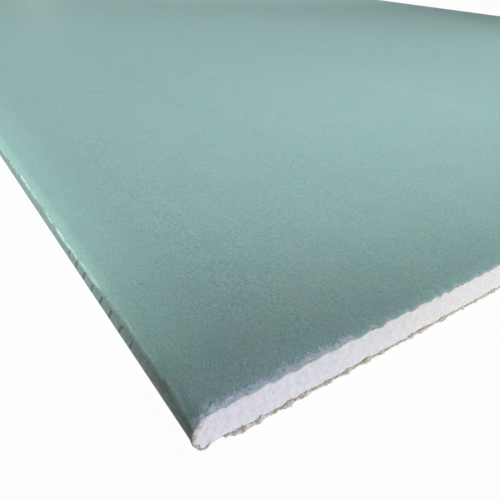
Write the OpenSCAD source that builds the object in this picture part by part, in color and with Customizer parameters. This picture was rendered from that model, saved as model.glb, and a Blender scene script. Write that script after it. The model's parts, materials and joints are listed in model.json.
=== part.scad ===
// Moisture-resistant drywall sheet: a gypsum core bound between two papers.
// The coloured face paper bends round both long edges and folds under as a
// flap, and the back paper is laid over the flaps. The two ends are cut square
// and show the core. The sheet lies face up: X runs along its length, Y across
// its width, and Z up from the back paper, with the origin at the middle of
// the back.

/* [Sheet] */
// Length between the two cut ends
sheet_length = 2400; // [600:50:3600]
// Width between the two paper-bound long edges
sheet_width = 1200; // [400:50:1250]
// Thickness at the middle, both papers included
sheet_thickness = 12.5; // [9.5:0.5:18]

/* [Long edges] */
// Width of the band along each long edge where the face slopes down
taper_width = 50; // [30:1:80]
// Drop of the face across that band
taper_depth = 0.8; // [0.3:0.1:2]
// How far the side bulges out between the levels of the face and the flap
crown_bulge = 3.2; // [0.5:0.1:4]
// Radius of the bend between the face and the side
face_bend_radius = 3.5; // [1:0.1:4]
// Radius of the bend between the side and the flap
flap_bend_radius = 2.5; // [1:0.1:3]

/* [Papers] */
// Thickness of the face paper
face_paper_thickness = 0.4; // [0.2:0.05:0.8]
// Thickness of the back paper
back_paper_thickness = 0.4; // [0.2:0.05:0.8]
// Strip of flap left bare between the long edge and the back paper
bare_flap_width = 9; // [6:0.5:16]
// Overlap of the back paper on the flap
paper_lap = 16; // [8:1:30]

/* [Hidden] */

// Straight steps in each bend and in the crown
bend_steps = 8;
crown_steps = 8;

// Distances are measured in from a long edge (u) and up from the floor (z)
flap_edge = bare_flap_width + paper_lap;
flap_underside = back_paper_thickness;
flap_top = flap_underside + face_paper_thickness;

// The straight stretches at each end of the edge, and the angles that they face
flap_start = [flap_edge, flap_underside];
flap_end = [bare_flap_width, flap_underside];
taper_foot = [0, sheet_thickness - taper_depth];
taper_top = [taper_width, sheet_thickness];
flap_normal = outward(flap_start, flap_end);
face_normal = outward(taper_foot, taper_top);
taper_angle = atan(taper_depth / taper_width);

// The crown is an arc centred half way up the side, and its tip is the sheet's
// edge. Its radius follows from its bulge over half the side's height
side_middle = (flap_end.y + taper_foot.y) / 2;
side_half = (taper_foot.y - flap_end.y) / 2;
crown_radius = (side_half * side_half + crown_bulge * crown_bulge) / (2 * crown_bulge);
crown_centre = [crown_radius, side_middle];

// Each bend touches a flat surface and the crown, so its centre lies on the
// surface moved in by the bend's radius, where that meets the inner crown
face_bend_centre = line_to_circle(
    taper_top - face_bend_radius * direction(face_normal),
    direction(face_normal + 90), crown_centre, crown_radius - face_bend_radius);
flap_bend_centre = line_to_circle(
    flap_end - flap_bend_radius * direction(flap_normal),
    direction(flap_normal - 90), crown_centre, crown_radius - flap_bend_radius);
face_bend_start = angle_of(face_bend_centre - crown_centre);
flap_bend_end = angle_of(flap_bend_centre - crown_centre);

function direction(angle) = [cos(angle), sin(angle)];

// Angle of a vector, from 0 to 360
function angle_of(v) = (atan2(v.y, v.x) + 360) % 360;

// Angle that a straight stretch faces, walked from the flap round to the face
function outward(from, to) = angle_of([from.y - to.y, to.x - from.x]);

// The last point where a line from a point, along a unit vector, meets a circle
function line_to_circle(point, along, centre, radius) =
    let(from_centre = point - centre,
        middle = -from_centre * along,
        half_chord = sqrt(radius * radius - from_centre * from_centre + middle * middle))
    point + (middle + half_chord) * along;

function arc(centre, radius, from, to, steps) =
    [for (i = [0:steps]) centre + radius * direction(from + (to - from) * i / steps)];

// The arc without its two end points, which the neighbouring arcs already hold
function arc_between(centre, radius, from, to, steps) =
    [for (i = [1:steps - 1]) centre + radius * direction(from + (to - from) * i / steps)];

// One long edge, from the flap up round the side to the top of the taper, at a
// depth under the face paper's outer surface
function edge_path(depth) = concat(
    arc(flap_bend_centre, flap_bend_radius - depth, flap_normal, flap_bend_end, bend_steps),
    arc_between(crown_centre, crown_radius - depth, flap_bend_end, face_bend_start, crown_steps),
    arc(face_bend_centre, face_bend_radius - depth, face_bend_start, face_normal, bend_steps),
    [[taper_width + depth * tan(taper_angle / 2), sheet_thickness - depth]]);

function reversed(points) = [for (i = [len(points) - 1:-1:0]) points[i]];

// The same points on the opposite long edge, in the reverse order
function opposite(points) = [for (p = reversed(points)) [sheet_width - p.x, p.y]];

// A path and its mirror image, so that it runs from one long edge to the other
function across(points) = concat(points, opposite(points));

// A section drawn in u and z, run along the length of the sheet
module along_sheet() {
    rotate([90, 0, 90])
        linear_extrude(height = sheet_length, center = true)
            translate([-sheet_width / 2, 0])
                children();
}

// Cast gypsum, which fills the fold of the face paper and lies on the back
// paper between the flaps
module gypsum_core() {
    color("whitesmoke")
        along_sheet()
            polygon(across(concat(
                [flap_start, [flap_edge, flap_top]],
                edge_path(face_paper_thickness))));
}

// Face paper, in one piece from flap to flap
module face_paper() {
    outside = across(concat([flap_start], edge_path(0)));
    inside = across(concat([[flap_edge, flap_top]], edge_path(face_paper_thickness)));
    color("cadetblue")
        along_sheet()
            polygon(concat(outside, reversed(inside)));
}

// Back paper, lapped over both flaps
module back_paper() {
    color("tan")
        along_sheet()
            translate([bare_flap_width, 0])
                square([sheet_width - 2 * bare_flap_width, back_paper_thickness]);
}

gypsum_core();
face_paper();
back_paper();
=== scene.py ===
"""Moisture-resistant drywall sheet with snapped ends, laid face up around its CAD frame."""

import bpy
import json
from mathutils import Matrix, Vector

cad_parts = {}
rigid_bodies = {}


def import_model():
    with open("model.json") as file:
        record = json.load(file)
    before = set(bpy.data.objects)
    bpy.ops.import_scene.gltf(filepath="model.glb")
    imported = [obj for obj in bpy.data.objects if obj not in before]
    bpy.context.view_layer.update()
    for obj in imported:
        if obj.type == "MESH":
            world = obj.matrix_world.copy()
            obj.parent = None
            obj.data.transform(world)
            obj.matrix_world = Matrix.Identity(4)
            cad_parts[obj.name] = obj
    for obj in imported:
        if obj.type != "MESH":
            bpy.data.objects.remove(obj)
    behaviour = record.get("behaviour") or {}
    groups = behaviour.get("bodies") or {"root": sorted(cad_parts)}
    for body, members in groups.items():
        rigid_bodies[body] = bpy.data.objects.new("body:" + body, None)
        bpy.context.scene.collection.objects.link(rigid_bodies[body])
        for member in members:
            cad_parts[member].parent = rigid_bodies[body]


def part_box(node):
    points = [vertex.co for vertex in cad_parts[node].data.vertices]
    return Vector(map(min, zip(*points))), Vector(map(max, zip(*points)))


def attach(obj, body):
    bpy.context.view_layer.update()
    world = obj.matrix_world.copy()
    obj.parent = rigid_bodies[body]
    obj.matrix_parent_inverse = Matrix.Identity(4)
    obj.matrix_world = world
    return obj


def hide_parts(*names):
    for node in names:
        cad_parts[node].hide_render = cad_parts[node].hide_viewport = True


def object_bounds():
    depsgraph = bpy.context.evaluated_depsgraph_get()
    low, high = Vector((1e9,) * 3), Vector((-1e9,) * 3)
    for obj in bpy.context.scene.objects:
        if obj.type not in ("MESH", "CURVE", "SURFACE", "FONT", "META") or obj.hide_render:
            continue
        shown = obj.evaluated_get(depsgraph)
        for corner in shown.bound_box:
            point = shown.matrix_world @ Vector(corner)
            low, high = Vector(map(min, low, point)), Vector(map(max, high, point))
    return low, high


bl_info = {
    "name": "Drywall sheet",
    "version": (1, 0, 0),
    "blender": (4, 5, 0),
    "location": "View3D > Sidebar > Drywall",
    "description": "Lays up a drywall sheet: its snapped core, its two papers and the crumbs of the cut",
    "category": "Object",
}

import json
import math
from collections import namedtuple

import bmesh
import bpy
import numpy as np
from bpy.props import FloatProperty, FloatVectorProperty, IntProperty, PointerProperty
from mathutils import Matrix, Vector, noise

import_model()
CAD_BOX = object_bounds()

# Lengths are in metres, and MM turns millimetres into them
MM = 0.001
BODY = "root"

SHEET_LOW, SHEET_HIGH = CAD_BOX
CORE_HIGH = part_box("gypsum_core")[1]
BACK_LOW, BACK_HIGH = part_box("back_paper")

# The end that the camera looks at, and the other one, by the sign of X
NEAR_END, FAR_END = 1, -1


def linear(colour):
    """Linear red, green, blue and alpha of an sRGB hex colour."""
    parts = [int(colour[i:i + 2], 16) / 255 for i in (1, 3, 5)]
    return (*(p / 12.92 if p <= 0.04045 else ((p + 0.055) / 1.055) ** 2.4 for p in parts), 1.0)


def length_setting(name, description, default):
    return FloatProperty(name=name, description=description, default=default, unit="LENGTH", precision=5)


def angle_setting(name, description, degrees):
    return FloatProperty(name=name, description=description, default=math.radians(degrees), subtype="ANGLE")


def colour_setting(name, description, default):
    return FloatVectorProperty(
        name=name, description=description, default=linear(default), subtype="COLOR", size=4, min=0, max=1
    )


class SheetSizes(bpy.types.PropertyGroup):
    """Sizes of the sheet and of the papers that bind its core"""

    length: length_setting("Length", "Between the two cut ends", SHEET_HIGH.x - SHEET_LOW.x)
    width: length_setting("Width", "Between the two paper-bound edges", SHEET_HIGH.y - SHEET_LOW.y)
    thickness: length_setting("Thickness", "At the middle, papers included", SHEET_HIGH.z - SHEET_LOW.z)
    face_paper: length_setting("Face paper", "Thickness of the face paper", SHEET_HIGH.z - CORE_HIGH.z)
    back_paper: length_setting("Back paper", "Thickness of the back paper", BACK_HIGH.z - BACK_LOW.z)
    bare_flap: length_setting(
        "Bare flap", "Flap left bare between the long edge and the back paper", BACK_LOW.y - SHEET_LOW.y
    )
    paper_lap: length_setting("Paper lap", "Overlap of the back paper on the flap", 16 * MM)
    taper_width: length_setting("Taper width", "Band along a long edge where the face slopes", 50 * MM)
    taper_depth: length_setting("Taper depth", "Drop of the face across that band", 0.8 * MM)
    crown_bulge: length_setting("Crown bulge", "How far a long edge's convex side stands out", 3.2 * MM)
    face_bend: length_setting("Face bend", "Radius between the face and the side", 3.5 * MM)
    flap_bend: length_setting("Flap bend", "Radius between the side and the flap", 2.5 * MM)


class SnapSizes(bpy.types.PropertyGroup):
    """How roughly the two ends are broken and torn"""

    fine_reach: length_setting("Fine reach", "Stretch of the near end that is drawn finest", 145 * MM)
    fine_gap: length_setting("Fine gap", "Between points on that stretch", 0.25 * MM)
    plain_gap: length_setting("Plain gap", "Between points on the other broken edges", 1.2 * MM)
    body_gap: length_setting("Body gap", "Between points on the whole faces", 25 * MM)
    core_relief: length_setting("Core relief", "Depth of the broken grain", 0.18 * MM)
    pore_depth: length_setting("Pore depth", "Depth of the open air pores", 0.3 * MM)
    chip_place: length_setting("Chip place", "Lower chip's distance from the near long edge", 7.5 * MM)
    chip_width: length_setting("Chip width", "Half the width of that chip", 4 * MM)
    chip_height: length_setting("Chip height", "Height of that chip", 1.2 * MM)
    chip_depth: length_setting("Chip depth", "How far that chip goes in from the end", 1.2 * MM)
    tooth_pitch: length_setting("Tooth pitch", "Between teeth along the cut edge of the face", 6.93 * MM)
    tooth_start: length_setting("Tooth start", "First tooth's distance from the near long edge", 1.6 * MM)
    tooth_depth: length_setting("Tooth depth", "How far a tooth stands out past its gap", 0.6 * MM)
    press_depth: length_setting("Press depth", "How far the face is pressed down at the cut", 0.45 * MM)
    press_reach: length_setting("Press reach", "How far in from the cut it is pressed down", 3.2 * MM)
    ply_reach: length_setting("Ply reach", "How far inner plies show past the green one", 0.7 * MM)
    splay: length_setting("Splay", "How far the end spreads at the foot of its side", 0.35 * MM)
    fringe_reach: length_setting("Fringe reach", "How far lumps of back paper stick out", 0.7 * MM)
    fringe_height: length_setting("Fringe height", "How far those lumps curl up", 1.4 * MM)
    grains: IntProperty(name="Grains", description="Grains of dust at the near corner", default=5000, min=0)
    crumbs: IntProperty(name="Crumbs", description="Loose crumbs along each end", default=170, min=0)


class SheetFinish(bpy.types.PropertyGroup):
    """Colours of the papers, the core and the marks on them"""

    face_paper: colour_setting("Face paper", "Dyed face paper", "#a4c9c4")
    face_floc: colour_setting("Face floc", "Darker fibres in the face paper", "#769a97")
    face_blue: colour_setting("Face blue", "Bluer clouds of dye in the face paper", "#8aa9b2")
    face_grey: colour_setting("Face grey", "Clouds of the face paper that took less dye", "#a3b3b3")
    shoulder: colour_setting("Shoulder", "Rubbed shoulder of the face paper", "#a9d6cd")
    # Painted highlight: a lighter tint on the rounded shoulder, as if it caught more light than the face
    worn_paper: colour_setting("Worn paper", "Rubbed crease and torn rims of the face paper", "#c8ebe5")
    # Partly handling dirt and partly painted shade: greys and darkens the side under the crease
    grime: colour_setting("Grime", "Handling dirt on the paper's side", "#727e76")
    speck: colour_setting("Speck", "Specks of waste fibre in the face paper", "#3f5154")
    ink: colour_setting("Ink", "Tick marks printed on the side", "#37423f")
    dust: colour_setting("Dust", "Gypsum dust beside the cut", "#d4efff")
    torn_dusty: colour_setting("Dusty ply", "Torn inner plies whitened by gypsum", "#ebe7df")
    torn_ply: colour_setting("Torn ply", "Bare inner plies at a torn edge", "#d8cbb4")
    torn_shade: colour_setting("Torn shade", "Darker fibres of those plies", "#9c8c72")
    back_paper: colour_setting("Back paper", "Undyed back paper", "#bdae95")
    back_fibre: colour_setting("Back fibre", "Darker fibres in the back paper", "#8f8068")
    gypsum: colour_setting("Gypsum", "Broken gypsum", "#f0eff1")
    gypsum_shade: colour_setting("Gypsum shade", "Damp or denser gypsum", "#d9d8dd")
    floor: colour_setting("Floor", "Studio floor", "#f2f2f0")


class StageSettings(bpy.types.PropertyGroup):
    """Camera and ambient light of the studio"""

    eye_out: length_setting("Eye out", "Camera's distance past the near end", 58.72 * MM)
    eye_aside: length_setting("Eye aside", "Camera's distance past the near long edge", 32.35 * MM)
    eye_height: length_setting("Eye height", "Camera's height over the floor", 97.11 * MM)
    heading: angle_setting("Heading", "Camera's turn from +Y towards -X", 52.84)
    pitch: angle_setting("Pitch", "Camera's tilt below level", 31.65)
    roll: angle_setting("Roll", "Camera's turn about its view", 4.01)
    lens: FloatProperty(name="Lens", description="Focal length on a 36 mm sensor, in mm", default=34.13)
    ambient: FloatProperty(name="Ambient", description="Even light from all round", default=0.04, min=0)


# Section of the sheet, in distances in from the near long edge and up from the floor
Section = namedtuple("Section", "points facing run")
LEAST_ARC_STEPS = 7
# Gap between the points that other pieces read off a long edge
CLOSE_GAP = 0.2 * MM


def heading(angle):
    return np.array((math.cos(angle), math.sin(angle)))


def steps(first, last, gap_at):
    """Places from first to last, each about a gap further on."""
    places = [first]
    way = math.copysign(1, last - first)
    while abs(last - places[-1]) > 1.5 * gap_at(places[-1]):
        places.append(places[-1] + way * gap_at(places[-1]))
    return [*places, last]


def line_to_circle(point, along, centre, radius):
    """The last point where a line from a point, along a unit vector, meets a circle."""
    from_centre = point - centre
    middle = -from_centre @ along
    half_chord = math.sqrt(radius**2 - from_centre @ from_centre + middle**2)
    return point + (middle + half_chord) * along


def straight(start, end, facing, gap_at):
    """Points of a straight stretch without its end, and the way that each faces."""
    places = np.array(steps(start[0], end[0], gap_at)[:-1])
    share = (places - start[0]) / (end[0] - start[0])
    points = np.outer(1 - share, start) + np.outer(share, end)
    return points, np.tile(heading(facing), (len(points), 1))


def arc(centre, radius, first, last, gap_at):
    """Points of an arc without its end, and the way that each faces."""
    count = max(LEAST_ARC_STEPS, math.ceil(abs(last - first) * radius / gap_at(centre[0])))
    facing = np.array([heading(first + (last - first) * i / count) for i in range(count)])
    return centre + radius * facing, facing


def edge_section(sizes, gap_at):
    """One long edge, from its flap up round the side to the top of its taper."""
    face_facing = math.pi / 2 + math.atan2(sizes.taper_depth, sizes.taper_width)
    flap_facing = 1.5 * math.pi
    flap_start = np.array((sizes.bare_flap + sizes.paper_lap, sizes.back_paper))
    taper_top = np.array((sizes.taper_width, sizes.thickness))
    side_top = sizes.thickness - sizes.taper_depth
    side_half = (side_top - sizes.back_paper) / 2
    crown_radius = (side_half**2 + sizes.crown_bulge**2) / (2 * sizes.crown_bulge)
    crown = np.array((crown_radius, side_top - side_half))
    face_bend = line_to_circle(
        taper_top - sizes.face_bend * heading(face_facing),
        heading(face_facing + math.pi / 2), crown, crown_radius - sizes.face_bend,
    )
    flap_bend = line_to_circle(
        flap_start - sizes.flap_bend * heading(flap_facing),
        heading(flap_facing - math.pi / 2), crown, crown_radius - sizes.flap_bend,
    )
    face_turn, flap_turn = [math.atan2(*(bend - crown)[::-1]) % math.tau for bend in (face_bend, flap_bend)]
    flap_end = flap_bend + sizes.flap_bend * heading(flap_facing)
    taper_foot = face_bend + sizes.face_bend * heading(face_facing)
    stretches = [
        straight(flap_start, flap_end, flap_facing, gap_at),
        arc(flap_bend, sizes.flap_bend, flap_facing, flap_turn, gap_at),
        arc(crown, crown_radius, flap_turn, face_turn, gap_at),
        arc(face_bend, sizes.face_bend, face_turn, face_facing, gap_at),
        straight(taper_foot, taper_top, face_facing, gap_at),
    ]
    return [np.vstack(parts) for parts in zip(*stretches)]


def sheet_section(sizes, gap_at):
    """The face paper's outer surface from flap to flap."""
    near_points, near_facing = edge_section(sizes, gap_at)
    far_points, far_facing = edge_section(sizes, lambda inwards: gap_at(sizes.width - inwards))
    flat_start = np.array((sizes.taper_width, sizes.thickness))
    flat_end = np.array((sizes.width - sizes.taper_width, sizes.thickness))
    flat_points, flat_facing = straight(flat_start, flat_end, math.pi / 2, gap_at)
    mirror = np.array((-1, 1))
    mirrored = far_points[::-1] * mirror + (sizes.width, 0)
    points = np.vstack((near_points, flat_points, flat_end, mirrored))
    facing = np.vstack((near_facing, flat_facing, (0, 1), far_facing[::-1] * mirror))
    run = np.concatenate(((0,), np.cumsum(np.hypot(*np.diff(points, axis=0).T))))
    return Section(points, facing, run)


def from_edge(sizes, inwards):
    """Distance from the nearest long edge, by the distance from the near one."""
    return np.minimum(inwards, sizes.width - inwards)


def in_frame(sizes, end, inset, inwards, heights):
    """Points at distances in from an end plane and from the near long edge, and up from the floor."""
    along = end * (sizes.length / 2 - np.broadcast_to(inset, len(inwards)))
    return np.column_stack((along, inwards - sizes.width / 2, np.broadcast_to(heights, len(inwards))))


# Meshes laid in rows
Row = namedtuple("Row", "ids run")
# Faces that meet more sharply than this aren't shaded as one
SHARP_ANGLE = math.radians(50)


class RowMesh:
    """A closed mesh laid down in rows of points, with faces from each row to the next."""

    def __init__(self):
        self.points = np.zeros((0, 3))
        self.faces = []
        self.finishes = []
        self.values = {}

    def lay(self, points, run, **values):
        """Adds a row. run says how far along it each point lies, and values what each holds."""
        ids = np.arange(len(points)) + len(self.points)
        self.points = np.vstack((self.points, points))
        for name, value in values.items():
            self.values.setdefault(name, []).append(np.broadcast_to(value, len(points)))
        return Row(ids, np.asarray(run))

    def join(self, one, other, finish):
        """Faces between two rows: quads where their points match, and triangles elsewhere."""
        if len(one.ids) == len(other.ids):
            faces = np.column_stack((one.ids[:-1], one.ids[1:], other.ids[1:], other.ids[:-1])).tolist()
        else:
            faces = []
            a = b = 0
            while a + b < len(one.ids) + len(other.ids) - 2:
                ended = b == len(other.ids) - 1
                if ended or (a < len(one.ids) - 1 and one.run[a + 1] <= other.run[b + 1]):
                    faces.append((one.ids[a], one.ids[a + 1], other.ids[b]))
                    a += 1
                else:
                    faces.append((one.ids[a], other.ids[b + 1], other.ids[b]))
                    b += 1
        self.faces += faces
        self.finishes += [finish] * len(faces)

    def close(self, rows, finishes, fold):
        """Joins a ring of rows, each to the next, and caps its two sides.

        Each cap is a strip of faces across the ring, as if it were folded flat at a row."""
        for row, following, finish in zip(rows, rows[1:] + rows[:1], finishes):
            self.join(row, following, finish)
        folded = rows[fold:] + rows[:fold]
        for side in (0, -1):
            ids = [row.ids[side] for row in folded]
            pairs = list(zip(ids, ids[::-1]))[:len(ids) // 2]
            self.faces += [(*pair, *following[::-1]) for pair, following in zip(pairs, pairs[1:])]
            self.finishes += [finishes[-1]] * (len(pairs) - 1)

    def add_solids(self, points, faces, finish):
        """Adds copies of one small closed solid: points has the places of each copy's corners."""
        copies, corners, _ = points.shape
        starts = len(self.points) + corners * np.arange(copies)
        self.points = np.vstack((self.points, points.reshape(-1, 3)))
        for name in self.values:
            self.values[name].append(np.zeros(copies * corners))
        for face in faces:
            self.faces += (starts[:, None] + np.array(face)).tolist()
            self.finishes += [finish] * copies


def relief(places, size, octaves=3):
    """Smooth random heights, mostly from -1 to 1, with bumps of a size."""
    return np.array([noise.fractal(Vector(place) / size, 1.0, 2.0, octaves) for place in places])


def pores(places, size, radius=0.42):
    """From 0, off the pores, to 1 in the middle of one. radius is a share of size, the pores' spacing."""
    nearest = np.array([noise.voronoi(Vector(place) / size)[0][0] for place in places])
    return np.clip(1 - nearest / radius, 0, 1)


def ease(value, low, high):
    """Goes smoothly from 0 at low to 1 at high."""
    share = np.clip((value - low) / (high - low), 0, 1)
    return share * share * (3 - 2 * share)


def fade(value, low, high):
    """Goes smoothly from 1 at low to 0 at high."""
    return ease(-value, -high, -low)


def end_gaps(snap, end):
    """How far apart points lie on an end, by the distance from the near long edge."""
    if end == FAR_END:
        return lambda inwards: snap.plain_gap
    return lambda inwards: snap.fine_gap if inwards < snap.fine_reach else snap.plain_gap


def chip_share(snap, inwards, height, end):
    """From 0 off the chip in the near end's lower edge, to 1 at its deepest."""
    if end == FAR_END:
        return np.zeros(np.broadcast(inwards, height).shape)
    off = np.hypot((inwards - snap.chip_place) / snap.chip_width, height / snap.chip_height)
    return ease(1 - off, 0, 0.35)


def body_insets(sizes, first, gap=150):
    """Distances of the whole rows from the near end: a gap in mm apart, and closer towards both ends."""
    # Whole millimetres are counted, so that rounding adds no row
    plain = np.arange(gap, 1000 * sizes.length / 2 - gap / 2, gap) * MM
    half = [first, 20 * MM, 60 * MM, *plain]
    return [*half, *(sizes.length - inset for inset in reversed(half))]


def make_piece(name, mesh, materials, node=None):
    """Turns rows into a piece that rides on the sheet, in place of its CAD node if it has one."""
    data = bpy.data.meshes.new(name)
    data.from_pydata(mesh.points, [], mesh.faces)
    for material in materials:
        data.materials.append(material)
    data.polygons.foreach_set("material_index", mesh.finishes)
    for key, rows in mesh.values.items():
        attribute = data.attributes.new(key, "FLOAT", "POINT")
        attribute.data.foreach_set("value", np.concatenate(rows).astype(np.float32))
    shaped = bmesh.new()
    shaped.from_mesh(data)
    bmesh.ops.recalc_face_normals(shaped, faces=shaped.faces)
    shaped.to_mesh(data)
    shaped.free()
    data.shade_smooth()
    data.set_sharp_from_angle(angle=SHARP_ANGLE)
    piece = bpy.data.objects.new(name, data)
    bpy.context.scene.collection.objects.link(piece)
    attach(piece, BODY)
    if node:
        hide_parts(node)


# Gypsum core
# Room between the core and its papers
CLEARANCE = 0.02 * MM
# Columns on each rounded side, and rows up the near and the far end
SIDE_COLUMNS = 14
NEAR_LEVELS, FAR_LEVELS = 36, 12
# Where the rows of the core's and the face paper's ends stop, and where their whole rows start
END_RIM, WHOLE_START = 6 * MM, 10 * MM


def core_heights(sizes, inwards):
    """Bottom and top of the core at distances from the near long edge."""
    points, facing = edge_section(sizes, lambda _: CLOSE_GAP)
    wall = points - (sizes.face_paper + CLEARANCE) * facing
    tip = int(np.argmin(wall[:, 0]))
    flap_edge = sizes.bare_flap + sizes.paper_lap + CLEARANCE
    middle = sizes.width / 2
    lowest = sizes.back_paper + CLEARANCE
    below = np.vstack((wall[tip::-1], (flap_edge, lowest), (middle, lowest)))
    above = np.vstack((wall[tip:], (middle, sizes.thickness - sizes.face_paper - CLEARANCE)))
    aside = from_edge(sizes, inwards)
    return np.interp(aside, *below.T), np.interp(aside, *above.T)


def core_columns(sizes, gap_at):
    """Distances of the core's columns from the near long edge, closer together at its rounded sides."""
    tip = sizes.face_paper + 0.05 * MM
    rounded = 3 * MM
    side = [tip + rounded * (i / SIDE_COLUMNS) ** 2 for i in range(SIDE_COLUMNS)]
    middle = steps(tip + rounded, sizes.width - tip - rounded, gap_at)
    return np.array([*side, *middle, *(sizes.width - place for place in reversed(side))])


def tear_line(inwards, snap, end):
    """How far the face paper's cut lies in from an end plane, and how far along its tooth each point is."""
    count = len(inwards)
    places = np.column_stack((inwards, np.full(count, 0.4), np.full(count, end * 0.07)))
    # The teeth are even at the near corner, and uneven further on
    uneven = 0.1 + 0.6 * ease(inwards, 40 * MM, 60 * MM)
    phase = (inwards - snap.tooth_start) / snap.tooth_pitch + uneven * relief(places, 16 * MM, 2)
    share = phase % 1
    # From its tip, a tooth falls away over 0.6 of its pitch, and the next one rises over the last 0.18
    tooth = np.maximum(1 - share / 0.6, np.maximum(share - 0.82, 0) / 0.18)
    bold = 0.9 + relief(places + 0.2, 8 * MM, 1)
    cut = 0.4 * MM - snap.tooth_depth * np.maximum(tooth, 0) * np.clip(bold, 0.1, 1.5)
    return cut + 0.16 * MM * relief(places, 0.9 * MM, 3), share


def pressed_down(sizes, snap, inwards, past_cut):
    """How far down the face is pressed, at distances past its cut edge."""
    flat = ease(from_edge(sizes, inwards), 1 * MM, 4 * MM)
    return snap.press_depth * flat * np.clip(1 - past_cut / snap.press_reach, 0, 1)


def broken_face(sizes, snap, end, inwards, heights, bottom, top):
    """How far in from the end plane each point of the broken core lies."""
    places = np.column_stack((np.full(len(inwards), end * 0.05), inwards, heights))
    # Broad swells, coarse grain and fine grain, then open pores in patches
    depth = 1.1 * relief(places, 9 * MM, 2)
    depth = depth + 0.5 * relief(places, 1.5 * MM, 2) + 0.7 * relief(places, 0.7 * MM, 2)
    depth = snap.core_relief * (1.2 + depth)
    porous = ease(relief(places, 4 * MM, 1), 0, 0.4)
    depth += snap.pore_depth * ease(pores(places, 1.4 * MM), 0.35, 0.8) * porous
    # The last 1 mm over the back paper is crumbled
    crumbled = ease(relief(places + 0.3, 2.2 * MM, 3), 0.0, 0.5)
    depth += crumbled * 0.12 * MM * fade(heights, bottom, bottom + 1.0 * MM)
    depth = np.maximum(depth, 0)
    # Its upper edge has the same teeth as the paper over it
    under_face = np.clip((heights - top) / (0.9 * MM) + 1, 0, 1)
    flat = ease(from_edge(sizes, inwards), 3 * MM, 8 * MM)
    depth += under_face * flat * (tear_line(inwards, snap, end)[0] + 0.03 * MM - depth)
    return depth + snap.chip_depth * chip_share(snap, inwards, heights, end)


def nose_share(sizes, inwards):
    """From 1 at a long edge, where the broken core and its paper spread downwards, to 0 further in."""
    return fade(from_edge(sizes, inwards), 3 * MM, 4.5 * MM)


def core_end(mesh, sizes, snap, end):
    """Rows of one broken end, from its bottom to its top, with the rims that lead to the whole faces."""
    levels = NEAR_LEVELS if end == NEAR_END else FAR_LEVELS
    inwards = core_columns(sizes, end_gaps(snap, end))
    bottom, top = core_heights(sizes, inwards)
    low_top = top - pressed_down(sizes, snap, inwards, 0)
    spread = snap.splay * nose_share(sizes, inwards)
    rows = []
    for level in np.linspace(0, 1, levels + 1):
        heights = bottom + (low_top - bottom) * level - (1 - level) * spread
        rows.append((broken_face(sizes, snap, end, inwards, heights, bottom, low_top), heights))
    rows = [(END_RIM, bottom), (rows[0][0] + 0.5 * MM, bottom), *rows, (END_RIM, top)]
    return [mesh.lay(in_frame(sizes, end, inset, inwards, heights), inwards) for inset, heights in rows]


def cast_core(sizes, snap):
    mesh = RowMesh()
    near_rows, far_rows = [core_end(mesh, sizes, snap, end) for end in (NEAR_END, FAR_END)]
    inwards = core_columns(sizes, lambda _: snap.body_gap)
    bottom, top = core_heights(sizes, inwards)
    over, under = [
        [
            mesh.lay(in_frame(sizes, NEAR_END, inset, inwards, heights), inwards)
            for inset in body_insets(sizes, WHOLE_START)
        ]
        for heights in (top, bottom)
    ]
    ring = [*near_rows, *over, *far_rows[::-1], *under[::-1]]
    mesh.close(ring, [0] * len(ring), len(near_rows) // 2)
    return mesh


# Papers
WHOLE, TORN = 0, 1
# Where the back paper is bunched up at the near end: from the near long edge, and half the width
BUNCHES = ((13.5 * MM, 3 * MM), (18.5 * MM, 2.6 * MM), (28 * MM, 2.4 * MM), (49 * MM, 2 * MM))
# Where the rows of the back paper's ends stop, and where its whole rows start
BACK_RIM, BACK_WHOLE_START = 7 * MM, 12 * MM


def add_fibres(mesh, roots, outwards, rng, long, thick):
    """Loose fibres on a torn edge: thin tapered hairs, each bent a little."""
    count = len(roots)
    aim = np.column_stack((outwards * np.ones(count), rng.normal(0, 0.8, count), rng.normal(0.1, 0.5, count)))
    aim /= np.linalg.norm(aim, axis=1)[:, None]
    bend = rng.normal(0, 0.35, (count, 3))
    reach = long * rng.uniform(0.25, 1, count)[:, None]
    width = thick * rng.uniform(0.6, 1.5, count)[:, None]
    aside = np.cross(aim, (0, 0, 1.0)) * width
    upwards = np.array((0, 0, 1.0)) * width
    # Three rings of three corners, each by its share of the length and its fullness, and a tip
    rings = []
    for share, full in ((-0.15, 1), (0.4, 0.9), (0.8, 0.6)):
        middle = roots + reach * (aim * share + bend * share**2)
        rings += [middle + full * aside, middle - full * aside, middle + 1.4 * full * upwards]
    tip = roots + reach * (aim + bend)
    points = np.stack([*rings, tip], axis=1)
    points[:, :, 2] = np.maximum(points[:, :, 2], 0.02 * MM)
    faces = [(0, 1, 2)]
    for low in (0, 3):
        faces += [(low + i, low + (i + 1) % 3, low + 3 + (i + 1) % 3, low + 3 + i) for i in range(3)]
    faces += [(6 + i, 6 + (i + 1) % 3, 9) for i in range(3)]
    mesh.add_solids(points, faces, TORN)


def fibre_roots(rng, row_points, inwards, snap, end):
    """Random points of a torn edge, one in a few along it."""
    chance = np.where((inwards < snap.fine_reach) & (end == NEAR_END), 0.3, 0.2)
    return row_points[rng.random(len(row_points)) < chance]


def place_paper(section, sizes, end, inset, depth):
    """Points of a section at a distance in from an end plane and under the face paper's surface."""
    across = section.points - section.facing * np.broadcast_to(depth, len(section.run))[:, None]
    return in_frame(sizes, end, inset, *across.T)


def side_run(section):
    """Distance along the paper from the tip of the nearest long edge, over zero towards the face."""
    near_tip = section.run[int(np.argmin(section.points[:, 0]))]
    far_tip = section.run[int(np.argmax(section.points[:, 0]))]
    return np.minimum(section.run - near_tip, far_tip - section.run)


def rounded_side(section):
    """From 0 on the face and the flaps, to 1 on the crowned sides between them."""
    return fade(side_run(section), 5 * MM, 8 * MM) * ease(section.points[:, 1], 0.5 * MM, 2.5 * MM)


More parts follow.
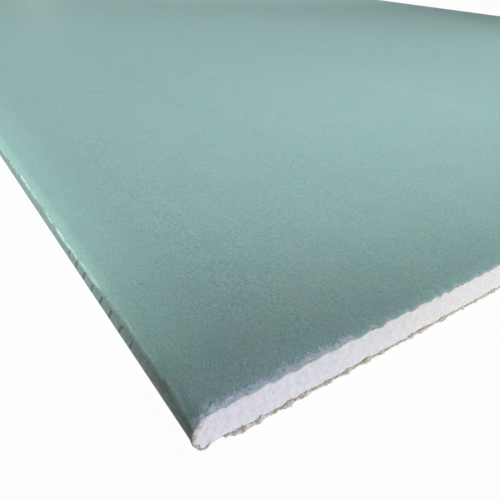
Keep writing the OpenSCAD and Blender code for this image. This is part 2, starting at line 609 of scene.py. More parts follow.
def paper_tears(section, snap, end):
    """How far the inner plies and the green one are torn back from an end plane, and how bare they lie."""
    inwards = section.points[:, 0]
    places = np.column_stack((section.points, np.full(len(inwards), end * 0.07)))
    side = rounded_side(section)
    cut, share = tear_line(inwards, snap, end)
    cut = cut * (1 - 0.8 * side)
    # Flecks of the inner plies are left in the gap before a tooth
    patches = ease(relief(places + 0.5, 3 * MM, 3), -0.2, 0.3)
    flecks = ease(0.2 - np.abs(share - 0.75), 0, 0.15) * patches * (1 - side)
    frayed = 0.12 * MM * relief(places, 0.5 * MM, 2)
    ply = 0.06 * MM + snap.ply_reach * np.maximum(flecks, 0.8 * side) + frayed
    corner = 0.3 * fade(inwards, 15 * MM, 30 * MM) * (1 - side)
    return cut, cut + np.maximum(ply, 0.04 * MM), np.maximum(flecks, (corner + 0.4 * side) * patches)


def paper_end(mesh, section, sizes, snap, end):
    """Rows of one torn end of the face paper, from its outer surface round to its inner one."""
    inwards, heights = section.points.T
    cut, tear, flecks = paper_tears(section, snap, end)
    ply = tear - cut
    places = np.column_stack((section.points, np.full(len(inwards), 0.9)))
    curl = 0.1 * MM * relief(places, 2 * MM, 2)
    splay = snap.splay * fade(heights, 2.5 * MM, 7 * MM) * nose_share(sizes, inwards)
    # On the rounded side the plies fluff up and lap over the core
    side = rounded_side(section)
    lap = snap.ply_reach * side * np.clip(1 + 1.2 * relief(places, 1.2 * MM, 3), 0, 1.6)
    # Under the chip in the core, the flap curls up after it
    underneath = heights < sizes.thickness / 4
    splay -= 0.7 * snap.chip_height * chip_share(snap, inwards, np.zeros(len(cut)), end) * underneath
    # Each row's distance in from the end plane, depth under the surface, and share of the splay
    profile = [
        (np.full(len(cut), END_RIM), 0, 0), (tear + 3.4 * MM, 0, 0), (tear + 2 * MM, 0, 0.05),
        (tear + 0.9 * MM, 0, 0.15), (tear + 0.3 * MM, 0, 0.6), (tear, 0, 0.85),
        (cut + 0.65 * ply, 0.1 * MM, 0.9), (cut + 0.3 * ply, 0.2 * MM + curl, 1), (cut, 0.3 * MM + curl, 1),
        (cut - 0.12 * MM * side, sizes.face_paper + lap, 0.6), (END_RIM, sizes.face_paper, 0),
    ]
    run = side_run(section)
    upwards = ease(section.facing[:, 1], 0.3, 0.9)
    rows = []
    for inset, depth, share in profile:
        down = upwards * pressed_down(sizes, snap, inwards, inset - tear)
        points = place_paper(section, sizes, end, inset, depth + down - share * splay)
        rows.append(mesh.lay(points, section.run, to_end=inset - tear, side_run=run, bare=flecks))
    rng = np.random.default_rng(11 + end)
    down = upwards * pressed_down(sizes, snap, inwards, 0)
    roots = place_paper(section, sizes, end, cut, 0.2 * MM + down)
    add_fibres(mesh, fibre_roots(rng, roots, inwards, snap, end), end, rng, 0.5 * MM, 0.025 * MM)
    return rows


def wrap_face_paper(sizes, snap):
    mesh = RowMesh()
    near_rows, far_rows = [
        paper_end(mesh, sheet_section(sizes, end_gaps(snap, end)), sizes, snap, end)
        for end in (NEAR_END, FAR_END)
    ]
    section = sheet_section(sizes, lambda _: snap.body_gap)
    run = side_run(section)
    outer, inner = [
        [
            mesh.lay(
                place_paper(section, sizes, NEAR_END, inset, depth), section.run,
                to_end=min(inset, sizes.length - inset), side_run=run, bare=0.0,
            )
            for inset in body_insets(sizes, WHOLE_START)
        ]
        for depth in (0, sizes.face_paper)
    ]
    ring = [*near_rows, *inner, *far_rows[::-1], *outer[::-1]]
    end_finish = [WHOLE] * 6 + [TORN] * 4
    inner_finish, outer_finish = [[finish] * (len(inner) + 1) for finish in (TORN, WHOLE)]
    finishes = [*end_finish, *inner_finish, *end_finish[::-1], *outer_finish]
    mesh.close(ring, finishes, len(near_rows) // 2)
    return mesh


def back_end(mesh, sizes, snap, end):
    """Rows of one torn end of the back paper, from its top round to its underside."""
    inwards = np.array(steps(sizes.bare_flap, sizes.width - sizes.bare_flap, end_gaps(snap, end)))
    count = len(inwards)
    places = np.column_stack((inwards, np.full(count, 0.2), np.full(count, end * 0.11)))
    near = fade(inwards, 28 * MM, 36 * MM) * (end == NEAR_END)
    lumps = 0.5 * ease(relief(places, 5 * MM, 3), -0.3 * near, 0.4)
    if end == NEAR_END:
        for place, half_width in BUNCHES:
            lumps = np.maximum(lumps, ease(half_width - np.abs(inwards - place), 0, half_width))
    ragged = relief(places, 0.8 * MM, 4)
    reach = 0.14 * MM + snap.fringe_reach * lumps + 0.2 * MM * ragged
    chip = chip_share(snap, inwards, np.zeros(count), end)
    reach = np.maximum(reach, 0.04 * MM) * (1 - chip) - 0.3 * MM * chip
    lift = snap.fringe_height * lumps * ease(relief(places + 0.7, 1.4 * MM, 4), -0.6, 0.3)
    lift = np.maximum(lift + 0.35 * MM + 0.25 * MM * relief(places + 0.4, 0.9 * MM, 3), 0)
    full = sizes.back_paper
    inside = 1.8 * MM
    # Each row's distance in from the end plane and height. The torn plies lean on the core, in rough steps
    profile = [
        (BACK_RIM, full), (inside, full), (0.3 * MM - 0.1 * reach, full + lift),
        (-0.3 * reach, full + 0.9 * lift), (-0.7 * reach, full + 0.6 * lift),
        (-0.95 * reach, 0.8 * full + 0.3 * lift), (-reach, 0.4 * full + 0.1 * lift),
        (-reach + 0.02 * MM, 0.03 * MM), (inside, 0), (BACK_RIM, 0),
    ]
    outermost = 6
    rows = []
    for turn, (inset, height) in enumerate(profile):
        if 3 <= turn <= outermost:
            inset = inset + 0.3 * MM * (0.4 + lumps) * relief(places + 0.37 * turn, 0.7 * MM, 3)
            height = height + 0.2 * MM * (0.2 + lumps) * relief(places + 0.71 * turn, 0.6 * MM, 3)
        points = in_frame(sizes, end, inset, inwards, np.maximum(height, 0))
        bare = 0.35 + 0.7 * relief(places + 0.53 * turn, 1.2 * MM, 3)
        rows.append(mesh.lay(points, inwards, bare=bare))
    rng = np.random.default_rng(31 + end)
    roots = mesh.points[rows[outermost].ids]
    add_fibres(mesh, fibre_roots(rng, roots, inwards, snap, end), end, rng, 0.8 * MM, 0.03 * MM)
    return rows


def lay_back_paper(sizes, snap):
    mesh = RowMesh()
    near_rows, far_rows = [back_end(mesh, sizes, snap, end) for end in (NEAR_END, FAR_END)]
    inwards = np.array(steps(sizes.bare_flap, sizes.width - sizes.bare_flap, lambda _: snap.body_gap))
    over, under = [
        [
            mesh.lay(in_frame(sizes, NEAR_END, inset, inwards, height), inwards, bare=0.55)
            for inset in body_insets(sizes, BACK_WHOLE_START)
        ]
        for height in (sizes.back_paper, 0)
    ]
    ring = [*near_rows, *under, *far_rows[::-1], *over[::-1]]
    end_finish = [WHOLE] * 2 + [TORN] * 6 + [WHOLE]
    whole_finish = [WHOLE] * (len(under) + 1)
    mesh.close(ring, [*end_finish, *whole_finish, *end_finish[::-1], *whole_finish], len(near_rows) // 2)
    return mesh


# Crumbs
LEAST_CRUMB, MOST_CRUMB = 0.05 * MM, 0.13 * MM


def icosahedron():
    """Corners on a unit sphere, and the triangles between them."""
    golden = (1 + math.sqrt(5)) / 2
    flat = [(-1, golden, 0), (1, golden, 0), (-1, -golden, 0), (1, -golden, 0)]
    corners = np.array([np.roll(place, turn) for turn in range(3) for place in flat], float)
    corners /= np.linalg.norm(corners, axis=1)[:, None]
    side = np.linalg.norm(corners[:, None] - corners[None], axis=2)
    shortest = side[side > 0.1].min() * 1.01
    near = (side > 0.1) & (side < shortest)
    faces = [
        (i, j, k) for i in range(12) for j in range(i + 1, 12) for k in range(j + 1, 12)
        if near[i, j] and near[j, k] and near[i, k]
    ]
    return corners, faces


def scatter_crumbs(sizes, snap):
    """Grains and crumbs of gypsum lying on the face beside the two cuts."""
    rng = np.random.default_rng(5)
    corners, faces = icosahedron()
    points, _ = edge_section(sizes, lambda _: CLOSE_GAP)
    surface = points[int(np.argmin(points[:, 0])):]
    mesh = RowMesh()
    # Each group lies along a stretch of an end, thinning out from the near long edge and from the cut
    for count, end, first, last, spread in (
        (snap.grains, NEAR_END, 1.8 * MM, 50 * MM, 0.9 * MM),
        (snap.crumbs, NEAR_END, 3 * MM, sizes.width - 3 * MM, 4 * MM),
        (snap.crumbs, FAR_END, 3 * MM, sizes.width - 3 * MM, 4 * MM),
    ):
        inwards = first + (last - first) * rng.random(count) ** 1.5
        past_cut = 0.2 * MM + np.abs(rng.normal(0, spread, count))
        inset = tear_line(inwards, snap, end)[0] + past_cut
        # Grains are bigger in clots of about 1 mm
        clots = relief(np.column_stack((inset, inwards, np.full(count, end * 0.3))), 1.1 * MM, 2)
        radius = rng.uniform(LEAST_CRUMB, MOST_CRUMB, count) * np.clip(1 + 1.2 * clots, 0.4, 1.8)
        top = np.interp(from_edge(sizes, inwards), *surface.T) - pressed_down(sizes, snap, inwards, past_cut)
        places = in_frame(sizes, end, inset, inwards, top + 0.4 * radius)
        lumps = corners[None] * rng.uniform(0.65, 1.25, (count, len(corners), 1)) * radius[:, None, None]
        mesh.add_solids(places[:, None] + lumps, faces, 0)
    return mesh


# Materials
# Numbers of the colour sockets of a mix node: three that go in, and the one that comes out
FACTOR, FIRST, SECOND, MIXED = 0, 6, 7, 2
WHITE = (1, 1, 1, 1)


def add(tree, kind, inputs=(), out=0, **settings):
    """Adds a node with its settings and links. Returns one output, or all of them where out is None.

    inputs gives sockets their values, or the sockets that they link from, in order or by name."""
    node = tree.nodes.new("ShaderNode" + kind)
    for name, value in settings.items():
        setattr(node, name, value)
    for socket, value in inputs.items() if isinstance(inputs, dict) else enumerate(inputs):
        if isinstance(value, bpy.types.NodeSocket):
            tree.links.new(value, node.inputs[socket])
        else:
            node.inputs[socket].default_value = value
    return node.outputs if out is None else node.outputs[out]


def per_metre(millimetres):
    """A texture's scale for a pattern of a real size."""
    return 1 / (millimetres * MM)


def new_material(name):
    material = bpy.data.materials.new(name)
    material.use_nodes = True
    material.node_tree.nodes.clear()
    return material, material.node_tree


def shared(maker, finish):
    """The material of a maker, made once and worn by each piece that asks for it."""
    return bpy.data.materials.get(maker.__name__) or maker(finish)


# A place on the face paper: in space, drawn out along the sheet, round from the tip of a side, and in from
# the cut, from the near long edge and from the near end
Place = namedtuple("Place", "spot along run to_end from_edge from_end")


def face_place(tree, sizes):
    spot = add(tree, "TexCoord", out="Object")
    axes = add(tree, "SeparateXYZ", (spot,), None)
    return Place(
        spot,
        add(tree, "Mapping", {"Vector": spot, "Scale": (0.6, 1, 1)}),
        add(tree, "Attribute", out="Fac", attribute_name="side_run"),
        add(tree, "Attribute", out="Fac", attribute_name="to_end"),
        add(tree, "Math", (axes["Y"], sizes.width / 2), operation="ADD"),
        add(tree, "Math", (sizes.length / 2, axes["X"]), operation="SUBTRACT"),
    )


def pressed_fibres(tree, at):
    """Fine fibres of the face paper, and its grain, which adds flocs and faint streaks along the sheet."""
    # Fibres are about 1 mm long and 0.03 mm wide. They are drawn 0.6 mm wide, so that they show
    fibre = add(tree, "TexNoise", {"Vector": at.along, "Scale": per_metre(0.6), "Detail": 1.0})
    floc = add(tree, "TexNoise", {"Vector": at.spot, "Scale": per_metre(2.2), "Detail": 3.0})
    streaked = add(tree, "Mapping", {"Vector": at.spot, "Scale": (0.03, 1, 1)})
    streak = add(tree, "TexNoise", {"Vector": streaked, "Scale": per_metre(40), "Detail": 2.0})
    grain = fibre
    for pattern, weight in ((floc, 0.3), (streak, 0.09)):
        grain = add(tree, "Math", (pattern, weight, grain), operation="MULTIPLY_ADD")
    return fibre, grain


def uneven_pulp(tree, at):
    """Shares of bluer dye and of greyer dye, in clouds, and of dark specks of waste fibre."""
    dye = add(tree, "TexNoise", {"Vector": at.spot, "Scale": per_metre(12), "Detail": 3.0}, "Color")
    dye = add(tree, "SeparateColor", (dye,), None)
    blue = add(tree, "MapRange", (dye["Red"], 0.48, 0.72, 0.0, 0.4))
    grey = add(tree, "MapRange", (dye["Green"], 0.48, 0.72, 0.0, 0.26))
    # Specks are up to 1 mm wide and 1.7 mm long, about one in each 30 by 50 mm
    cell = 30
    waste = add(
        tree, "TexVoronoi", {"Vector": at.along, "Scale": per_metre(cell)}, None, voronoi_dimensions="2D"
    )
    speck = add(tree, "MapRange", (waste["Distance"], 0.25 / cell, 0.5 / cell, 0.7, 0.0))
    dark = add(tree, "SeparateColor", (waste["Color"],), "Red")
    return blue, grey, add(tree, "Math", (speck, dark), operation="MULTIPLY")


def handled_side(tree, at):
    """Shares of dirt with painted shade under the crease, of painted highlight over it, and of wear on it."""
    # The crease that the paper was folded on runs 2.7 mm above the tip of the side, wavers by 0.4 mm,
    # and rises by 1 mm at the ends
    waver = add(tree, "TexNoise", {"Vector": at.spot, "Scale": per_metre(9), "Detail": 4.0, "Roughness": 0.6})
    crease = add(tree, "MapRange", (waver, 0.3, 0.7, 2.3 * MM, 3.1 * MM))
    rise = add(tree, "MapRange", (at.to_end, 40 * MM, 80 * MM, 1.0 * MM, 0.0))
    crease = add(tree, "Math", (crease, rise), operation="ADD")
    past_crease = add(tree, "Math", (at.run, crease), operation="SUBTRACT")

    # Dirt and painted shade lie in smudges of about 1.6 mm, and darken the side more within 45 mm of the ends
    smudge = add(
        tree, "TexNoise", {"Vector": at.along, "Scale": per_metre(1.6), "Detail": 3.0, "Roughness": 0.7}
    )
    smudge = add(tree, "MapRange", (smudge, 0.35, 0.7, 0.25, 0.8))
    under = add(tree, "MapRange", (past_crease, -1.3 * MM, 0.0, 1.0, 0.0))
    dirt_and_shade = add(tree, "Math", (under, smudge), operation="MULTIPLY")
    darker_near_ends = add(tree, "MapRange", (at.to_end, 0.0, 45 * MM, 1.9, 1.0))
    dirt_and_shade = add(tree, "Math", (dirt_and_shade, darker_near_ends), operation="MULTIPLY", use_clamp=True)

    # The painted highlight on the shoulder fades out 25 mm up the face
    painted_highlight = add(tree, "MapRange", (past_crease, 0.0, 25 * MM, 0.42, 0.0), interpolation_type="SMOOTHSTEP")
    above = add(tree, "Math", (past_crease, 0.0), operation="GREATER_THAN")
    away = add(tree, "MapRange", (at.to_end, 2 * MM, 25 * MM))
    for share in (above, away):
        painted_highlight = add(tree, "Math", (painted_highlight, share), operation="MULTIPLY")

    # The crease is worn in pieces of some 10 mm, and less so near the ends
    broken = add(tree, "Mapping", {"Vector": at.spot, "Scale": (0.2, 1, 1)})
    pieces = add(
        tree, "TexNoise", {"Vector": broken, "Scale": per_metre(2), "Detail": 4.0, "Roughness": 0.65}
    )
    rubbed = add(tree, "MapRange", (pieces, 0.46, 0.56))
    off_crease = add(tree, "Math", (past_crease,), operation="ABSOLUTE")
    worn = add(tree, "MapRange", (off_crease, 0.35 * MM, 0.9 * MM, 1.0, 0.0))
    clean = add(tree, "MapRange", (at.to_end, 20 * MM, 85 * MM, 0.3, 1.0))
    for share in (rubbed, clean):
        worn = add(tree, "Math", (worn, share), operation="MULTIPLY")
    return dirt_and_shade, painted_highlight, worn


def ink_ticks(tree, at, fibre):
    """Share of ink in slanting ticks on the near side, in a row of 54 mm that comes back every 600 mm."""
    lap = add(tree, "Math", (at.from_end, 600 * MM), operation="MODULO")
    slant = add(tree, "Math", (at.run, 0.5, lap), operation="MULTIPLY_ADD")
    pace = add(tree, "Math", (slant, 7.5 * MM), operation="MODULO")
    inked = add(tree, "MapRange", (fibre, 0.3, 0.6, 0.35, 0.8))
    # A tick is where each of these lies within a distance of its middle
    for value, middle, distance in (
        (pace, 4 * MM, 0.7 * MM),
        (lap, 60 * MM, 27 * MM),
        (at.run, 0, 2.2 * MM),
        (at.from_edge, 0, 10 * MM),
    ):
        mark = add(tree, "Math", (value, middle, distance), operation="COMPARE")
        inked = add(tree, "Math", (inked, mark), operation="MULTIPLY")
    return inked


def drifted_dust(tree, at):
    """Share of gypsum dust: a ragged band of about 2 mm along the cut, a haze, and specks beyond it."""
    drift = add(tree, "TexNoise", {"Vector": at.spot, "Scale": per_metre(2), "Detail": 5.0, "Roughness": 0.7})
    spread = add(tree, "MapRange", (drift, 0.3, 0.7, -1.2 * MM, 1.2 * MM))
    narrow = add(tree, "MapRange", (at.from_edge, 12 * MM, 35 * MM, 0.85, 1.1))
    ragged = add(tree, "Math", (at.to_end, narrow, spread), operation="MULTIPLY_ADD")
    band = add(tree, "MapRange", (ragged, 0.3 * MM, 2.4 * MM, 1.0, 0.0), interpolation_type="SMOOTHSTEP")
    haze = add(tree, "MapRange", (ragged, 0.0, 12 * MM, 0.2, 0.0))
    band = add(tree, "Math", (band, haze), operation="MAXIMUM")
    # The dust lies in clots of about 0.7 mm
    clot = add(
        tree, "TexNoise", {"Vector": at.spot, "Scale": per_metre(0.7), "Detail": 3.0, "Roughness": 0.7}
    )
    clot = add(tree, "MapRange", (clot, 0.36, 0.62, 0.6, 1.25))
    band = add(tree, "Math", (band, clot), operation="MULTIPLY")
    # Specks are drawn up to 0.4 mm wide, one to each fifth cell of 0.9 mm, within 45 mm of the cut
    cells = add(tree, "TexVoronoi", {"Vector": at.spot, "Scale": per_metre(0.9)}, None)
    lot = add(tree, "SeparateColor", (cells["Color"],), "Red")
    reach = add(tree, "MapRange", (lot, 0.8, 1.0, 0.1, 0.22))
    point = add(tree, "Math", (cells["Distance"], reach), operation="LESS_THAN")
    few = add(tree, "Math", (lot, 0.8), operation="GREATER_THAN")
    nearby = add(tree, "MapRange", (ragged, 0.0, 45 * MM, 1.0, 0.0))
    for share in (few, nearby):
        point = add(tree, "Math", (point, share), operation="MULTIPLY")
    return add(tree, "Math", (band, point), operation="MAXIMUM")


def dyed_liner_paper(sizes, finish):
    """Green-dyed recycled liner paper, pressed smooth on the machine.

    It is matt, with a fine pepper of fibres and faint streaks along the sheet, a pale rubbed crease with a
    painted highlight on the shoulder over it, a side greyed by dirt and painted shade, and gypsum dust beside
    the cut."""
    material, tree = new_material("dyed_liner_paper")
    at = face_place(tree, sizes)
    fibre, grain = pressed_fibres(tree, at)
    blue, grey, speck = uneven_pulp(tree, at)
    dirt_and_shade, painted_highlight, worn = handled_side(tree, at)
    ink = ink_ticks(tree, at, fibre)

    # The dust is thick for 40 mm from the near long edge, and keeps to the face
    thick = add(tree, "MapRange", (at.from_edge, 32 * MM, 55 * MM, 1.0, 0.15))
    on_face = add(tree, "MapRange", (at.run, 2.0 * MM, 3.0 * MM))
    dust = drifted_dust(tree, at)
    for share in (thick, on_face):
        dust = add(tree, "Math", (dust, share), operation="MULTIPLY")

    # The torn rim of the green ply is fuzzed pale over 0.9 mm. Where the dust is thick, its last 0.35 mm is
    # bared to the brown of the inner plies instead
    clear = add(tree, "Math", (thick, -0.8, 1.0), operation="MULTIPLY_ADD")
    fuzz = add(tree, "MapRange", (at.to_end, 0.0, 0.9 * MM, 0.6, 0.0))
    fuzz = add(tree, "Math", (fuzz, clear), operation="MULTIPLY")
    rim = add(tree, "MapRange", (at.to_end, 0.0, 0.35 * MM, 0.5, 0.0))
    rim = add(tree, "Math", (rim, thick), operation="MULTIPLY")

    dense = add(tree, "MapRange", (grain, 0.35, 1.05))
    # Of these tints, the grime is partly painted shade and the shoulder tint is a painted highlight
    colour = finish.face_floc
    for share, tint in (
        (dense, finish.face_paper), (blue, finish.face_blue), (grey, finish.face_grey), (speck, finish.speck),
        (dirt_and_shade, finish.grime), (ink, finish.ink), (painted_highlight, finish.shoulder), (worn, finish.worn_paper),
        (dust, finish.dust), (fuzz, finish.worn_paper), (rim, finish.torn_shade),
    ):
        colour = add(tree, "Mix", {FACTOR: share, FIRST: colour, SECOND: tint}, MIXED, data_type="RGBA")
    rough = add(tree, "MapRange", (fibre, 0.3, 0.7, 0.62, 0.8))
    bump = add(tree, "Bump", {"Height": grain, "Strength": 0.1, "Distance": 0.04 * MM})
    skin = add(
        tree, "BsdfPrincipled",
        {"Base Color": colour, "Roughness": rough, "Normal": bump, "IOR": 1.45, "Specular IOR Level": 0.3},
    )
    add(tree, "OutputMaterial", (skin,), None)
    return material


def torn_recycled_ply(finish):
    """Torn inner plies of recycled paper, undyed: fuzzy and matt, whitened by gypsum and brown where bare."""
    material, tree = new_material("torn_recycled_ply")
    spot = add(tree, "TexCoord", out="Object")
    bare = add(tree, "Attribute", out="Fac", attribute_name="bare")
    # Tufts of fibre are about 0.8 mm long
    tuft = add(tree, "TexNoise", {"Vector": spot, "Scale": per_metre(0.8), "Detail": 4.0, "Roughness": 0.7})
    shade = add(tree, "MapRange", (tuft, 0.38, 0.64))
    swept = add(tree, "TexNoise", {"Vector": spot, "Scale": per_metre(1.7), "Detail": 3.0})
    swept = add(tree, "Math", (swept, bare), operation="ADD")
    dusty = add(tree, "MapRange", (swept, 0.4, 1.1, 1.0, 0.0))
    colour = finish.torn_ply
    for share, tint in ((shade, finish.torn_shade), (dusty, finish.torn_dusty)):
        colour = add(tree, "Mix", {FACTOR: share, FIRST: colour, SECOND: tint}, MIXED, data_type="RGBA")
    fuzz = add(tree, "TexNoise", {"Vector": spot, "Scale": per_metre(0.25), "Detail": 3.0})
    bump = add(tree, "Bump", {"Height": fuzz, "Strength": 0.6, "Distance": 0.08 * MM})
    skin = add(
        tree, "BsdfPrincipled",
        {"Base Color": colour, "Roughness": 0.95, "Normal": bump, "Specular IOR Level": 0.15},
    )
    add(tree, "OutputMaterial", (skin,), None)
    return material


def undyed_liner_paper(finish):
    """Undyed recycled liner paper, pressed smooth: buff, matt, and flecked with darker fibres."""
    material, tree = new_material("undyed_liner_paper")
    spot = add(tree, "TexCoord", out="Object")
    # Fibres are drawn 0.6 mm wide, as on the face paper, and clouds 9 mm wide
    along = add(tree, "Mapping", {"Vector": spot, "Scale": (0.35, 1, 1)})
    fibre = add(tree, "TexNoise", {"Vector": along, "Scale": per_metre(0.6), "Detail": 3.0, "Roughness": 0.6})
    cloud = add(tree, "TexNoise", {"Vector": spot, "Scale": per_metre(9), "Detail": 2.0})
    both = add(tree, "Math", (cloud, 0.35, fibre), operation="MULTIPLY_ADD")
    dense = add(tree, "MapRange", (both, 0.55, 0.95))
    flecked = {FACTOR: dense, FIRST: finish.back_paper, SECOND: finish.back_fibre}
    colour = add(tree, "Mix", flecked, MIXED, data_type="RGBA")
    bump = add(tree, "Bump", {"Height": fibre, "Strength": 0.3, "Distance": 0.06 * MM})
    skin = add(
        tree, "BsdfPrincipled",
        {"Base Color": colour, "Roughness": 0.85, "Normal": bump, "Specular IOR Level": 0.25},
    )
    add(tree, "OutputMaterial", (skin,), None)
    return material


def settled_gypsum_dust(finish):
    """Gypsum ground fine by the cut and left lying: matt, loose and bluish white, with no sheen at all."""
    material, tree = new_material("settled_gypsum_dust")
    spot = add(tree, "TexCoord", out="Object")
    # Each grain of about 0.15 mm has its own shade
    shade = add(tree, "TexNoise", {"Vector": spot, "Scale": per_metre(0.15), "Detail": 2.0})
    shade = add(tree, "MapRange", (shade, 0.35, 0.65))
    whitened = {FACTOR: shade, FIRST: finish.dust, SECOND: finish.gypsum}
    colour = add(tree, "Mix", whitened, MIXED, data_type="RGBA")
    skin = add(tree, "BsdfPrincipled", {"Base Color": colour, "Roughness": 1.0, "Specular IOR Level": 0.1})
    add(tree, "OutputMaterial", (skin,), None)
    return material


def foamed_gypsum(finish):
    """Set gypsum plaster, foamed and snapped: matt, chalky white, finely grained, with faint grey patches."""
    material, tree = new_material("foamed_gypsum")
    spot = add(tree, "TexCoord", out="Object")
    patch = add(tree, "TexNoise", {"Vector": spot, "Scale": per_metre(2), "Detail": 5.0, "Roughness": 0.75})
    shade = add(tree, "MapRange", (patch, 0.4, 0.75))
    patched = {FACTOR: shade, FIRST: finish.gypsum, SECOND: finish.gypsum_shade}
    colour = add(tree, "Mix", patched, MIXED, data_type="RGBA")
    # Crystals are about 0.02 mm long. The grain is drawn 0.3 mm wide, so that it shows
    grain = add(tree, "TexNoise", {"Vector": spot, "Scale": per_metre(0.3), "Detail": 3.0, "Roughness": 0.6})
    bump = add(tree, "Bump", {"Height": grain, "Strength": 0.4, "Distance": 0.06 * MM})
    skin = add(
        tree, "BsdfPrincipled",
        {"Base Color": colour, "Roughness": 0.95, "Normal": bump, "IOR": 1.52, "Specular IOR Level": 0.2},
    )
    add(tree, "OutputMaterial", (skin,), None)
    return material


# Stage
FLOOR_REACH = 15.0
# Share of the floor's look that is plain white. The rest is lit, and keeps the shadow
FLOOR_WHITE = 0.97
CLIP_START, CLIP_END = 5 * MM, 100
SoftBox = namedtuple("SoftBox", "name place aim watts colour size")
SOFT_BOXES = (
    SoftBox("end_light", (2.4, -0.35, 0.22), (1.2, -0.45, 0), 10.5, "#f1f3f7", 0.3),
    SoftBox("far_end_light", (-2.6, 0.3, 0.06), (-1.2, 0.1, 0), 10, "#ffffff", 0.1),
    SoftBox("far_edge_light", (1.5, 2.1, 0.06), (0, 0.6, 0), 12, "#ffffff", 0.1),
)
# Spots that overlap by their soft rims, so that light falls off towards the near corner. rim is how far from
# its aim a spot reaches
Pool = namedtuple("Pool", "name place aim watts colour size rim blend")
POOLS = (
    Pool("side_light", (-0.18, -3.2, 1.64), (-0.2, -0.618, 0), 364, "#ffffff", 0.05, 1.403, 0.0928),
    Pool("top_light", (1.15, -0.12, 0.9), (0.49, -0.29, 0), 15.8, "#ffffff", 0.05, 1.246, 0.608),
    Pool("near_light", (1.16, -0.38, 0.5), (1.13, -0.36, 0), 0.9, "#ffffff", 0.05, 0.3, 0.9),
    Pool("far_light", (-1.3, 0.26, 2.6), (-1.3, 0.26, 0), 73, "#ffffff", 0.05, 1.81, 0.3),
    Pool("far_fill", (-0.6, 0.35, 1.8), (-0.6, 0.35, 0), 25, "#ffffff", 0.05, 1.07, 1.0),
    Pool("end_fill", (1.5, -0.46, 0.05), (1.2, -0.47, 0), 0.28, "#ffe2a0", 0.03, 0.09, 1.0),
    Pool("corner_fill", (1.5, -0.6, 0.05), (1.2, -0.597, 0), 0.31, "#a6a6ff", 0.03, 0.055, 1.0),
    Pool("right_light", (1.18, 0.3, 1.2), (1.18, 0.3, 0), 14, "#ffffff", 0.05, 0.5, 1.0),
)


def seen_share(tree):
    """1 for rays that show the stage to the eye, straight or mirrored, and 0 for those that light by it."""
    path = add(tree, "LightPath", out=None)
    shown = path["Is Camera Ray"]
    for ray in ("Is Glossy Ray", "Is Transmission Ray"):
        shown = add(tree, "Math", (shown, path[ray]), operation="MAXIMUM")
    return shown


def white_floor(finish):
    """Matt white studio floor, which shows almost pure white and keeps a soft shadow."""
    material, tree = new_material("white_floor")
    white_share = add(tree, "Math", (seen_share(tree), FLOOR_WHITE), operation="MULTIPLY")
    matt = add(tree, "BsdfDiffuse", (finish.floor,))
    white = add(tree, "Emission", (WHITE, 1.0))
    both = add(tree, "MixShader", (white_share, matt, white))
    add(tree, "OutputMaterial", (both,), None)
    return material


def set_world(stage):
    """White all round to the eye, and an even ambient light to the sheet."""
    world = bpy.data.worlds.new("studio")
    world.use_nodes = True
    tree = world.node_tree
    tree.nodes.clear()
    seen = seen_share(tree)
    lit, shown = [add(tree, "Background", (WHITE, strength)) for strength in (stage.ambient, 1.0)]
    both = add(tree, "MixShader", (seen, lit, shown))
    add(tree, "OutputWorld", (both,), None)
    bpy.context.scene.world = world


def lay_floor(finish):
    data = bpy.data.meshes.new("floor")
    signs = ((-1, -1), (1, -1), (1, 1), (-1, 1))
    data.from_pydata([(x * FLOOR_REACH, y * FLOOR_REACH, 0) for x, y in signs], [], [(0, 1, 2, 3)])
    data.materials.append(white_floor(finish))
    floor = bpy.data.objects.new("floor", data)
    bpy.context.scene.collection.objects.link(floor)


def hang_lamp(lamp, data):
    data.energy = lamp.watts
    data.color = linear(lamp.colour)[:3]
    light = bpy.data.objects.new(lamp.name, data)
    light.location = lamp.place
    light.rotation_euler = (Vector(lamp.aim) - Vector(lamp.place)).to_track_quat("-Z", "Y").to_euler()
    bpy.context.scene.collection.objects.link(light)


def hang_lamps():
    for lamp in SOFT_BOXES:
        data = bpy.data.lights.new(lamp.name, "AREA")
        data.shape = "DISK"
        data.size = lamp.size
        hang_lamp(lamp, data)
    for lamp in POOLS:
        data = bpy.data.lights.new(lamp.name, "SPOT")
        data.shadow_soft_size = lamp.size
        data.spot_blend = lamp.blend
        data.spot_size = 2 * math.atan(lamp.rim / math.dist(lamp.aim, lamp.place))
        hang_lamp(lamp, data)


def set_camera(sizes, stage):
    data = bpy.data.cameras.new("camera")
    data.lens = stage.lens
    data.clip_start = CLIP_START
    data.clip_end = CLIP_END
    camera = bpy.data.objects.new("camera", data)
    eye = Vector((sizes.length / 2 + stage.eye_out, -sizes.width / 2 - stage.eye_aside, stage.eye_height))
    camera.matrix_world = (
        Matrix.Translation(eye)
        @ Matrix.Rotation(stage.heading, 4, "Z")
        @ Matrix.Rotation(math.pi / 2 - stage.pitch, 4, "X")
        @ Matrix.Rotation(stage.roll, 4, "Z")
    )
    bpy.context.scene.collection.objects.link(camera)
    bpy.context.scene.camera = camera


class DRYWALL_OT_gypsum_core(bpy.types.Operator):
    """Casts the gypsum core and breaks both of its ends"""

    bl_idname = "drywall.gypsum_core"
    bl_label = "Gypsum core"

    def execute(self, context):
        scene = context.scene
        mesh = cast_core(scene.drywall_sizes, scene.drywall_snap)
        gypsum = foamed_gypsum(scene.drywall_finish)
        make_piece("snapped_core", mesh, [gypsum], "gypsum_core")
        return {"FINISHED"}


class DRYWALL_OT_face_paper(bpy.types.Operator):
    """Wraps the green face paper round both long edges and tears its ends"""

    bl_idname = "drywall.face_paper"
    bl_label = "Face paper"

    def execute(self, context):
        scene = context.scene
        mesh = wrap_face_paper(scene.drywall_sizes, scene.drywall_snap)
        finish = scene.drywall_finish
        papers = [dyed_liner_paper(scene.drywall_sizes, finish), shared(torn_recycled_ply, finish)]
        make_piece("wrapped_face_paper", mesh, papers, "face_paper")
        return {"FINISHED"}


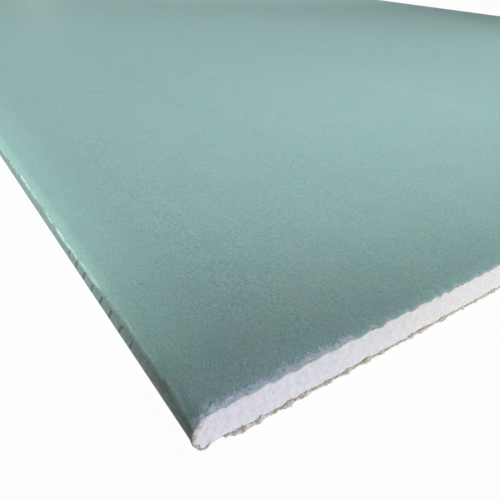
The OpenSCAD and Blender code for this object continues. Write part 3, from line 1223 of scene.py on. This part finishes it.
class DRYWALL_OT_back_paper(bpy.types.Operator):
    """Lays the buff back paper over the flaps and frays its ends"""

    bl_idname = "drywall.back_paper"
    bl_label = "Back paper"

    def execute(self, context):
        scene = context.scene
        mesh = lay_back_paper(scene.drywall_sizes, scene.drywall_snap)
        finish = scene.drywall_finish
        papers = [undyed_liner_paper(finish), shared(torn_recycled_ply, finish)]
        make_piece("frayed_back_paper", mesh, papers, "back_paper")
        return {"FINISHED"}


class DRYWALL_OT_crumbs(bpy.types.Operator):
    """Scatters crumbs of gypsum beside the two cuts"""

    bl_idname = "drywall.crumbs"
    bl_label = "Gypsum crumbs"

    def execute(self, context):
        scene = context.scene
        mesh = scatter_crumbs(scene.drywall_sizes, scene.drywall_snap)
        make_piece("gypsum_crumbs", mesh, [settled_gypsum_dust(scene.drywall_finish)])
        return {"FINISHED"}


class DRYWALL_OT_stage(bpy.types.Operator):
    """Sets the floor, the lamps and the camera"""

    bl_idname = "drywall.stage"
    bl_label = "Stage"

    def execute(self, context):
        scene = context.scene
        scene.view_settings.view_transform = "Standard"
        set_world(scene.drywall_stage)
        lay_floor(scene.drywall_finish)
        hang_lamps()
        set_camera(scene.drywall_sizes, scene.drywall_stage)
        return {"FINISHED"}


OPERATORS = (
    DRYWALL_OT_gypsum_core,
    DRYWALL_OT_face_paper,
    DRYWALL_OT_back_paper,
    DRYWALL_OT_crumbs,
    DRYWALL_OT_stage,
)
SETTINGS = {
    "drywall_sizes": SheetSizes,
    "drywall_snap": SnapSizes,
    "drywall_finish": SheetFinish,
    "drywall_stage": StageSettings,
}


class DRYWALL_PT_sheet(bpy.types.Panel):
    """Lists the sheet's pieces and their settings"""

    bl_idname = "DRYWALL_PT_sheet"
    bl_label = "Drywall sheet"
    bl_space_type = "VIEW_3D"
    bl_region_type = "UI"
    bl_category = "Drywall"

    def draw(self, context):
        for operator in OPERATORS:
            self.layout.operator(operator.bl_idname)
        for name, group in SETTINGS.items():
            box = self.layout.box()
            for setting in group.__annotations__:
                box.prop(getattr(context.scene, name), setting)


CLASSES = (*SETTINGS.values(), *OPERATORS, DRYWALL_PT_sheet)


def register():
    for kind in CLASSES:
        bpy.utils.register_class(kind)
    for name, group in SETTINGS.items():
        setattr(bpy.types.Scene, name, PointerProperty(type=group))


def unregister():
    for name in SETTINGS:
        delattr(bpy.types.Scene, name)
    for kind in reversed(CLASSES):
        bpy.utils.unregister_class(kind)


def main():
    register()
    bpy.ops.drywall.gypsum_core()
    bpy.ops.drywall.face_paper()
    bpy.ops.drywall.back_paper()
    bpy.ops.drywall.crumbs()
    bpy.ops.drywall.stage()


if __name__ == "__main__":
    main()
